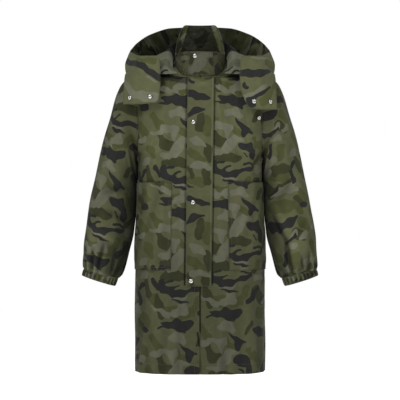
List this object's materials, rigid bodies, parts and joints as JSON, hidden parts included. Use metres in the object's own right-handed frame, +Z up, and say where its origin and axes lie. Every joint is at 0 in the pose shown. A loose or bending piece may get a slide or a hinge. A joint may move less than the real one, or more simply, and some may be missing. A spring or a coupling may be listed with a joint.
{
  "type": "hooded camouflage field coat",
  "caption": "Long hooded camouflage coat in its worn shape, with stand collar, storm flap on snaps, patch pockets, elastic cuffs and an open hood round the neck.",
  "frame": {"origin": "midway between the neck ends of the two shoulder seams", "axes": "+Z up along the wearer, -Y out of the coat's front, +X towards the wearer's left"},
  "size_m": [0.726, 0.3383, 1.083],
  "materials": {
    "camouflage_cloth": "matt camouflage cotton",
    "snap_metal": "nickel plated"
  },
  "bodies": {
    "root": {"front_right": "camouflage_cloth", "front_left": "camouflage_cloth", "back": "camouflage_cloth", "sleeve_right": "camouflage_cloth", "sleeve_left": "camouflage_cloth", "cuff_right": "camouflage_cloth", "cuff_left": "camouflage_cloth", "collar": "camouflage_cloth", "collar_tab": "camouflage_cloth", "storm_flap": "camouflage_cloth", "pocket_right": "camouflage_cloth", "pocket_left": "camouflage_cloth", "hood_right": "camouflage_cloth", "hood_left": "camouflage_cloth", "hood_centre": "camouflage_cloth", "hood_throat_right": "camouflage_cloth", "hood_throat_left": "camouflage_cloth", "hood_tab_right": "camouflage_cloth", "hood_tab_left": "camouflage_cloth", "snap_collar": "snap_metal", "snap_chest": "snap_metal", "snap_waist": "snap_metal", "snap_lower": "snap_metal", "snap_tab_right_outer": "snap_metal", "snap_tab_right_inner": "snap_metal", "snap_tab_left_inner": "snap_metal", "snap_tab_left_outer": "snap_metal", "snap_stud_left": "snap_metal"}
  },
  "joints": []
}
